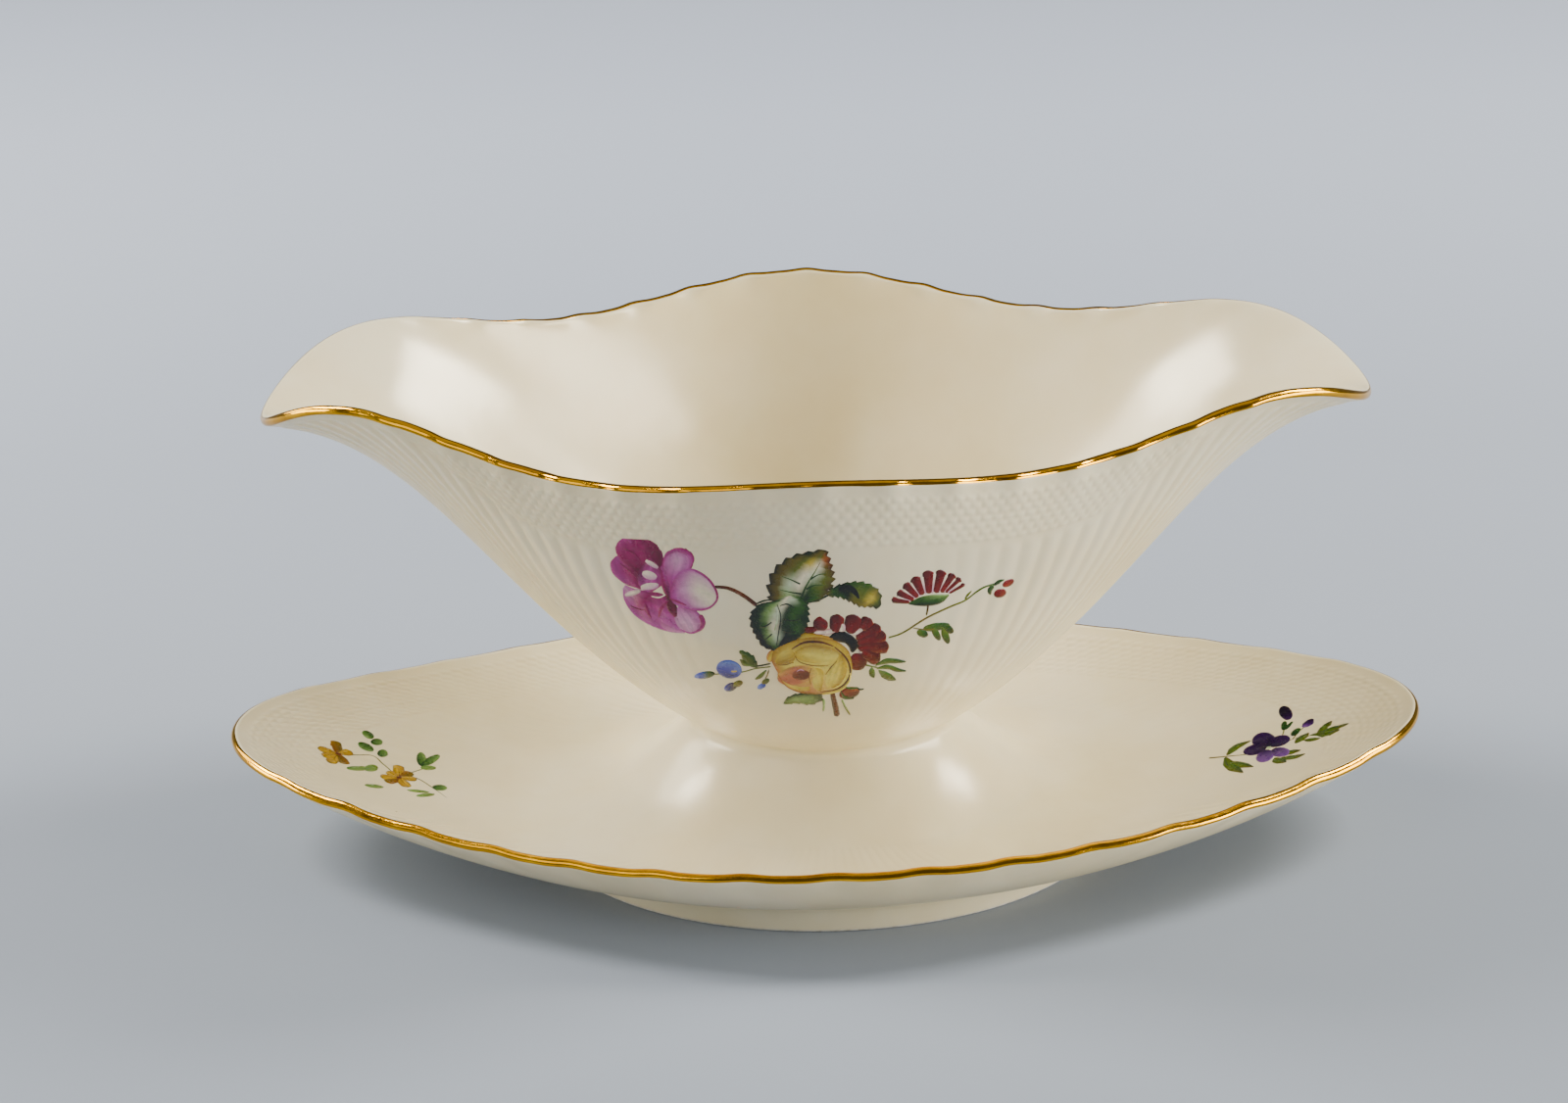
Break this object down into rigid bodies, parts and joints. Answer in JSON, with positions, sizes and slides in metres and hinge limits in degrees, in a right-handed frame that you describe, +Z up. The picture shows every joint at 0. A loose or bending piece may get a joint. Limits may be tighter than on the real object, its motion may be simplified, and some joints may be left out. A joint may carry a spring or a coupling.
{
  "type": "gravy boat on fixed stand",
  "caption": "Oval porcelain gravy boat with a pouring lip at each end, fused to its own leaf-shaped stand by a short waisted pedestal, with gold rims.",
  "frame": {"origin": "on the table, under the middle of the foot ring", "axes": "+X from one pouring lip to the other, +Y towards one side, +Z up"},
  "size_m": [0.2452, 0.135, 0.1038],
  "materials": {
    "cream_porcelain": "glossy clear glaze over cream porcelain",
    "fired_gold": "burnished fired gold"
  },
  "bodies": {
    "root": {"boat": "cream_porcelain", "pedestal": "cream_porcelain", "stand": "cream_porcelain", "foot_ring": "cream_porcelain", "boat_gold_band": "fired_gold", "stand_gold_band": "fired_gold"}
  },
  "joints": []
}
